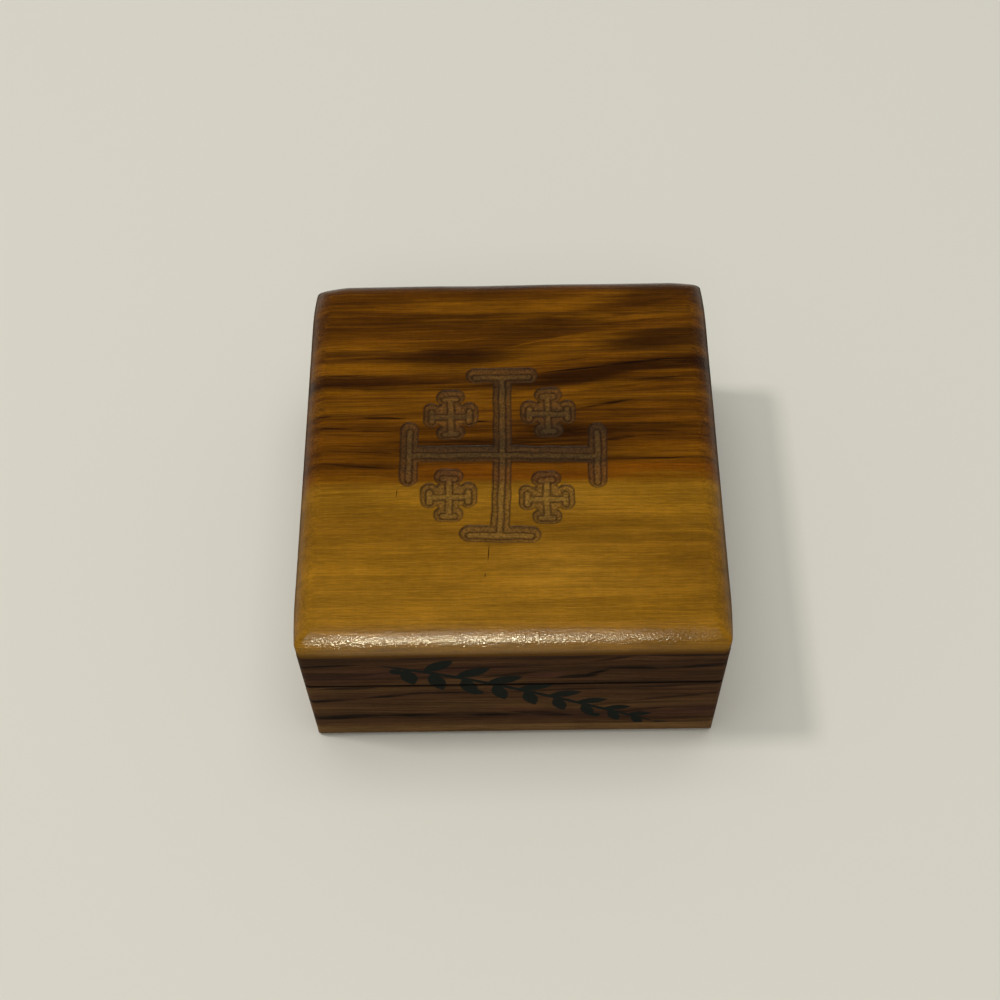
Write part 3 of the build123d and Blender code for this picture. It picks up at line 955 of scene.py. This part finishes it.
def paintSprig(board):
    tree = board.tree
    place = addNode(tree, "SeparateXYZ", [board.position]).outputs
    creep = sprig["creep"]
    creep = addNode(tree, "Math", [board.fibre, creep, -creep / 2], operation="MULTIPLY_ADD")
    x = addNode(tree, "Math", [place["X"], creep], operation="ADD")
    flat = addNode(tree, "CombineXYZ", [x, place["Z"]])

    line, *rest = reversed(sprig["stem"])
    for term in rest:
        line = addNode(tree, "Math", [line, x, term], operation="MULTIPLY_ADD")
    off = addNode(tree, "Math", [place["Z"], line], operation="SUBTRACT")
    off = addNode(tree, "Math", [off], operation="ABSOLUTE")
    startX, endX = sprig["stemEnds"]
    middle, half = (startX + endX) / 2, (endX - startX) / 2
    run = addNode(tree, "Math", [x, 1 / half, -middle / half], operation="MULTIPLY_ADD")
    run = addNode(tree, "Math", [run, sprig["stemTaper"]], operation="POWER")
    total = addNode(tree, "Math", [off, 1 / sprig["stemHalfWidth"], run], operation="MULTIPLY_ADD")

    for centreX, centreZ, turn, halfLength, halfWidth, kind in sprigShapes():
        own = addNode(tree, "Mapping", {"Vector": flat, "Location": (centreX, centreZ, 0),
                                        "Rotation": (0, 0, turn), "Scale": (halfLength, halfWidth, 1)},
                      vector_type="TEXTURE")
        part = addNode(tree, "SeparateXYZ", [own]).outputs
        lengthwise = addNode(tree, "Math", [part["X"], part["X"]], operation="MULTIPLY")
        crosswise = addNode(tree, "Math", [part["Y"]], operation="ABSOLUTE")
        if kind == "olive":
            crosswise = addNode(tree, "Math", [crosswise, crosswise], operation="MULTIPLY")
        shape = addNode(tree, "Math", [lengthwise, crosswise], operation="ADD")
        total = addNode(tree, "Math", [total, shape], operation="MINIMUM")
    soft = sprig["softEdge"]
    paint = addNode(tree, "MapRange", [total, 1 - soft, 1 + soft, sprig["cover"], 0.0])
    fades, gone = (depth - topHigh[1] for depth in sprig["paintDepth"])
    outside = addNode(tree, "MapRange", [place["Y"], fades, gone, 1.0, 0.0])
    paint = addNode(tree, "Math", [paint, outside], operation="MULTIPLY")
    board.colour = addNode(tree, "MixRGB", [paint, board.colour, sprig["colour"]])
    board.roughness = addNode(tree, "MapRange", [paint, 0.0, 1.0, board.roughness, sprig["roughness"]])


def dressSides():
    woods = {"front": (frontWood, ["front"]), "sides": (sideWood, ["left", "right"]),
             "back": (backWood, ["back"])}
    for label, (wood, sides) in woods.items():
        board = makeWood("olive heartwood, " + label + ", oiled", wood)
        if label == "front":
            paintSprig(board)
        darkenSeam(board)
        finishWood(board)
        pieces = [f"base_{side}_wall" for side in sides] + [f"lid_{side}_rail" for side in sides]
        dress(pieces, board.material)
    print("sides dressed")


dressSides()


# Bottom plate: a lighter, golden-brown board
bottomWood = dict(
    frontWood, axes="XYZ", seed=41.0, bend=1.0, span=(-42.0, 42.0), heart=(-42.0, 42.0, 0.3),
    bands=[(0.0, (-8.0, 20.0, 0.0, 0.04), [
        (-42, "#83623b"), (-30, "#735430"), (-16, "#856339"), (0, "#70512e"), (14, "#7f5d34"),
        (30, "#73532f"), (42, "#83623b")])],
    lines={lineBrown: [
        (-42, -41, 10, -40.6, 0.5, 0.5), (-30, -20, 20, -18, 0.7, 0.6),
        (0, 6, 42, 9, 0.7, 0.6), (-42, 24, 0, 22, 0.7, 0.6)]})

bottomBoard = makeWood("olive wood, bottom, oiled", bottomWood)
finishWood(bottomBoard)
dress(["bottom_plate"], bottomBoard.material)
print("bottom dressed")


# Hinges
# Stamped brass: yellow metal, brushed by the rolls, browned by handling
brass = {"clean": "#a98c52", "dull": "#826840", "roughness": 0.36}
# Drawn brass nails: the same metal, brighter where their heads are rubbed
nails = {"clean": "#c8aa6c", "dull": "#9a7c48", "roughness": 0.24}
# Drawn steel wire: grey, bright, fine lines along it
steel = {"clean": "#a7a6a2", "dull": "#6f6c68", "roughness": 0.30}
tarnish = {
    "patch": 3.6,
    "edges": (0.30, 0.70),       # noise where the dull metal ends and the clean starts
    "rougher": 0.18,             # how much rougher the dull patches are
    "brushing": (4.0, 0.10, 0.004),    # length, width and depth of the fine lines
    "seeds": (3.0, 5.0),
}


def metalFinish(name, metal):
    material, tree, shader = startMaterial(name)
    space = addNode(tree, "VectorMath", {0: addNode(tree, "TexCoord").outputs["Object"], "Scale": 1 / mm},
                    operation="SCALE")
    patchSeed, brushSeed = tarnish["seeds"]
    patches = joinNoise(tree, space, tarnish["patch"], tarnish["patch"], 4.0, patchSeed)
    stops = list(zip(tarnish["edges"], (metal["dull"], metal["clean"])))
    colour = addNode(tree, "ValToRGB", [patches], stops=stops)
    gloss = addNode(tree, "MapRange", [patches, *noiseSpan, metal["roughness"] + tarnish["rougher"],
                                       metal["roughness"]])
    length, width, depth = tarnish["brushing"]
    brushing = joinNoise(tree, space, length, width, 2.0, brushSeed)
    bump = addNode(tree, "Bump", {"Height": brushing, "Distance": depth * mm})
    fill(tree, shader, {"Base Color": colour, "Roughness": gloss, "Normal": bump, "Metallic": 1.0})
    return material


metals = {
    "leaf": ("stamped brass, tarnished", brass),
    "nails": ("drawn brass nails, worn bright", nails),
    "hinge_pin": ("drawn steel wire", steel),
}
for word, (finish, metal) in metals.items():
    dress([name for name in nodes if word in name], metalFinish(finish, metal))
print("hinges dressed")
